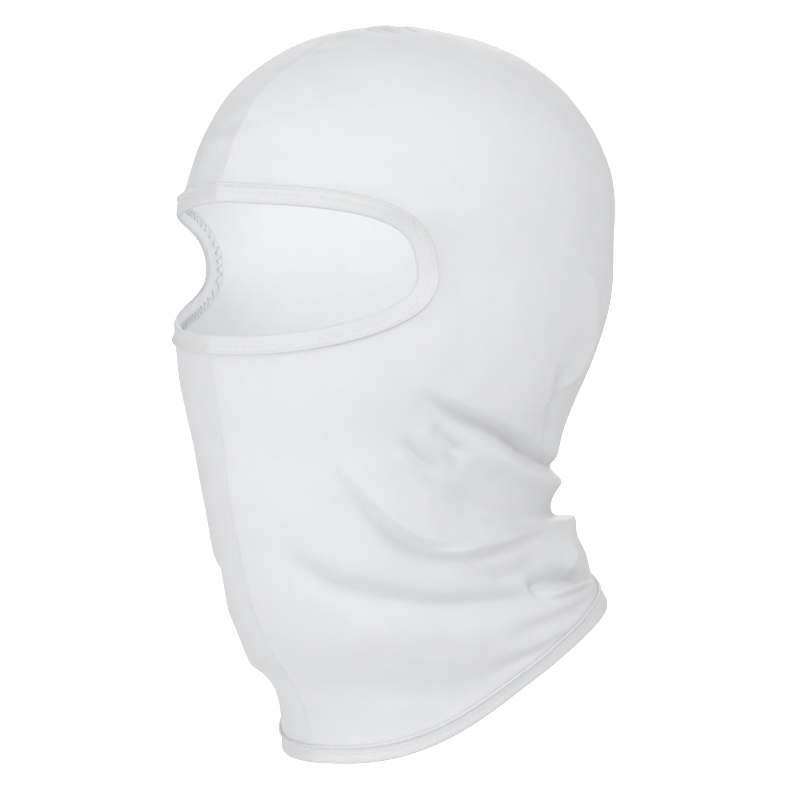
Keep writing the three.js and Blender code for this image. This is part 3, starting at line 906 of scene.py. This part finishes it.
def looper_zigzag(name, loop):
    """The thread that crosses between the two rows on the inside, and a little past each."""
    legs = 2 * int(loop["length"] / STITCH_PITCH)
    steps = np.arange(legs * ZIGZAG_STEPS)
    swing = ramp(np.abs(np.mod(steps / ZIGZAG_STEPS, 2) - 1), 0, 1)
    low, high = ROW_NEAR_FOLD - ZIGZAG_PAST, ROW_NEAR_EDGE + ZIGZAG_PAST
    path = on_edge(loop, loop["share"](len(steps)), low + (high - low) * swing, ZIGZAG_OUT)
    return thread_piece(name, [path], LOOPER_RADIUS, sides=5, closed=True)


eye_band = band("eye_opening_band", EYE_LOOP, count=420)
hem_band = band("neck_hem_band", HEM_LOOP, count=480)
stitches = []
for edge_name, loop in (("eye_opening", EYE_LOOP), ("neck_hem", HEM_LOOP)):
    for row_name, away in (("inner", ROW_NEAR_FOLD), ("outer", ROW_NEAR_EDGE)):
        row = needle_stitches(f"{edge_name}_stitches_{row_name}", loop, away)
        stitches.append((row, f"{edge_name}_needle_thread_{row_name}"))
    stitches.append((looper_zigzag(f"{edge_name}_zigzag", loop), f"{edge_name}_looper_thread"))
eye_elastic = band("eye_opening_elastic_strip", EYE_LOOP, 240, ELASTIC_SECTION, elastic_look)

# ---- Seam threads and label ----

# Where one turn of the overlock thread goes, as (side of the seam, depth below the face).
OVERLOCK_TURN = [(-1, 2.8), (-1, 5.9), (0, 6.5), (1, 5.9), (1, 2.8), (1, 5.0), (0, 6.35), (-1, 5.0)]
OVERLOCK_REACH = CLOTH + PLY_GAP + 0.22


def seam_heights(angle, low, high):
    """Heights along the front or back seam, one for each overlock stitch."""
    z = np.linspace(low, high, 900)
    length = running_length(smooth_base(np.full_like(z, angle), z))
    return np.interp(np.arange(0, length[-1], OVERLOCK_PITCH), length, z)


def overlock_path(angle, low, high):
    """One thread that loops over both allowances of the front or back seam, stitch after stitch."""
    heights = seam_heights(angle, low, high)
    angles = np.full_like(heights, angle)
    edge = cloth(angles, heights)
    inward = into_hood(base_normal(angles, heights))
    path = []
    for i in range(len(heights) - 1):
        for j, (reach, depth) in enumerate(OVERLOCK_TURN):
            share = j / len(OVERLOCK_TURN)
            here, ahead = edge[i] + inward[i] * depth, edge[i + 1] + inward[i + 1] * depth
            point = here * (1 - share) + ahead * share
            point[0] = reach * OVERLOCK_REACH
            path.append(point)
    return np.array(path)


def overlock(name, routes):
    """The overlock thread of one seam, along each of its runs."""
    paths = [overlock_path(*route) for route in routes]
    return thread_piece(name, paths, OVERLOCK_RADIUS, sides=5)


# The overlock runs from binding to binding, and the two runs over the crown end just below its top.
CLEAR = BINDING_WIDTH + 2
TOP = CROWN_Z - 0.4
front_seam = (0.0, EYE_END_Z + EYE_TOP["height"] + CLEAR, TOP)
back_seam = (np.pi, hem_z(np.pi) + CLEAR, TOP)
chin_seam = (0.0, hem_z(0.0) + CLEAR, EYE_END_Z - EYE_BOTTOM["height"] - CLEAR)
crown_overlock = overlock("crown_seam_thread", [front_seam, back_seam])
chin_overlock = overlock("chin_seam_thread", [chin_seam])

# The label's lower and upper edge, where it starts and ends below the face, how thick it is, how far
# it lies beside the allowance, and how far its free end curls aside.
LABEL = dict(low=-111, high=-89, shallow=2.8, deep=17, thickness=0.35, aside=0.55, curl=3.0)


def care_label():
    """A blank folded tape sewn to the left allowance of the back seam, a little curled."""
    heights = np.linspace(LABEL["low"], LABEL["high"], 12)
    depths = np.linspace(LABEL["shallow"], LABEL["deep"], 9)
    angles = np.full_like(heights, np.pi)
    edge, inward = cloth(angles, heights), -base_normal(angles, heights)
    waver = 1 + 0.3 * np.sin(np.arange(len(heights)) / 3)
    free = (depths - LABEL["shallow"]) / (LABEL["deep"] - LABEL["shallow"])
    curl = LABEL["curl"] * free**2 * waver[:, None]
    grid = edge[:, None] + inward[:, None] * depths[None, :, None]
    layers = []
    for out in (0.0, LABEL["thickness"]):
        layer = grid.copy()
        layer[..., 0] = CLOTH + PLY_GAP + LABEL["aside"] + out + curl
        layers.append(layer)
    points = np.array(layers).reshape(-1, 3)

    rows, columns = curl.shape
    index = np.arange(len(points)).reshape(2, rows, columns)
    faces = []
    for layer, turn in ((index[0], 1), (index[1], -1)):
        quads = np.stack([layer[:-1, :-1], layer[:-1, 1:], layer[1:, 1:], layer[1:, :-1]], axis=-1)
        faces += quads.reshape(-1, 4)[:, ::turn].tolist()
    rim = [*index[:, 0, :].T, *index[:, 1:, -1].T, *index[:, -1, -2::-1].T, *index[:, -2:0:-1, 0].T]
    for a, b in zip(rim, rim[1:] + rim[:1]):
        faces.append((a[0], b[0], b[1], a[1]))
    piece = add_mesh("blank_label", points, faces, label_look)
    set_uv(piece, points[:, 1:])
    tidy(piece)
    return piece


label = care_label()

# ---- What each piece stands for ----

built = [
    (left_panel, "hood_fabric", "left_side_panel"),
    (right_panel, "hood_fabric", "right_side_panel"),
    (eye_band, "binding_fabric", "eye_opening_binding"),
    (hem_band, "binding_fabric", "neck_hem_binding"),
    (eye_elastic, "elastic", "eye_opening_elastic"),
    (crown_overlock, "sewing_thread", "crown_and_back_seam_overlock"),
    (chin_overlock, "sewing_thread", "chin_seam_overlock"),
    (label, "label_satin", "care_label"),
]
built += [(row, "sewing_thread", node) for row, node in stitches]
for piece, slot, node in built:
    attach(piece, "root")
    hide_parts(node)

# ---- Floor, light and camera ----

# Metres, as are all places and distances below.
FLOOR_Z = -0.45


def seen_and_lit(nodes, links, seen, lit):
    """One strength for what is looked at, and a lower one for the light that it gives."""
    ray = nodes.new("ShaderNodeLightPath")
    share = nodes.new("ShaderNodeMapRange")
    share.inputs["To Min"].default_value = lit
    share.inputs["To Max"].default_value = seen
    links.new(ray.outputs["Is Camera Ray"], share.inputs["Value"])
    return share.outputs["Result"]


def direction(azimuth, elevation):
    """The way out to a place, in degrees from the front to the wearer's left and above the level."""
    turn, lift = np.radians(azimuth), np.radians(elevation)
    return Vector((np.sin(turn) * np.cos(lift), -np.cos(turn) * np.cos(lift), np.sin(lift)))


def pale_floor():
    """A wide floor that glows, so that it looks plain white."""
    mesh = bpy.data.meshes.new("floor")
    reach = 60.0
    corners = [(-reach, -reach), (reach, -reach), (reach, reach), (-reach, reach)]
    mesh.from_pydata([(x, y, FLOOR_Z) for x, y in corners], [], [(0, 1, 2, 3)])
    floor = add_to_scene("floor", mesh)
    material, nodes, links, shader = new_material("pale_floor")
    shader.inputs["Base Color"].default_value = (0.5, 0.5, 0.5, 1)
    shader.inputs["Roughness"].default_value = 0.9
    shader.inputs["Emission Color"].default_value = (1, 1, 1, 1)
    strength = seen_and_lit(nodes, links, seen=1.6, lit=0.34)
    links.new(strength, shader.inputs["Emission Strength"])
    mesh.materials.append(material)


def soft_light(name, azimuth, elevation, power, distance=2.2, size=1.0):
    """A square soft box that looks at the middle of the head."""
    light = bpy.data.lights.new(name, "AREA")
    light.shape = "SQUARE"
    light.size = size
    light.energy = power
    away = direction(azimuth, elevation)
    lamp = add_to_scene(name, light)
    lamp.location = away * distance
    lamp.rotation_euler = (-away).to_track_quat("-Z", "Y").to_euler()


def inner_light(power):
    """A soft glow in the middle of the head, which shows the inside of the cloth as bright."""
    light = bpy.data.lights.new("inside", "POINT")
    light.shadow_soft_size = 0.04
    light.energy = power
    lamp = add_to_scene("inside", light)
    lamp.location = (0, 0.01, 0.02)
    lamp.visible_camera = False


def white_world(strength):
    """An even white sky that lights less than it shows."""
    world = bpy.data.worlds.new("studio")
    bpy.context.scene.world = world
    world.use_nodes = True
    nodes, links = world.node_tree.nodes, world.node_tree.links
    background = nodes["Background"]
    background.inputs["Color"].default_value = (1, 1, 1, 1)
    links.new(seen_and_lit(nodes, links, seen=1.2, lit=strength), background.inputs["Strength"])


def long_lens_camera(azimuth, elevation, target, distance, view_height):
    """A far camera that shows view_height metres at the target."""
    data = bpy.data.cameras.new("camera")
    data.sensor_width = 36
    data.lens = data.sensor_width * distance / view_height
    data.clip_end = 200
    back = direction(azimuth, elevation)
    camera = add_to_scene("camera", data)
    camera.location = Vector(target) + back * distance
    camera.rotation_euler = back.to_track_quat("Z", "Y").to_euler()
    bpy.context.scene.camera = camera


pale_floor()
white_world(0.63)
soft_light("high_key", azimuth=72, elevation=46, power=14.5)
soft_light("low_key", azimuth=40, elevation=-8, power=10.6)
soft_light("right_fill", azimuth=-15, elevation=0, power=9)
soft_light("back_fill", azimuth=225, elevation=15, power=9)
inner_light(power=0.13)
long_lens_camera(45, 4, target=(0.0003, 0.0003, -0.0439), distance=4.0, view_height=0.3292)
bpy.context.scene.view_settings.view_transform = "Standard"
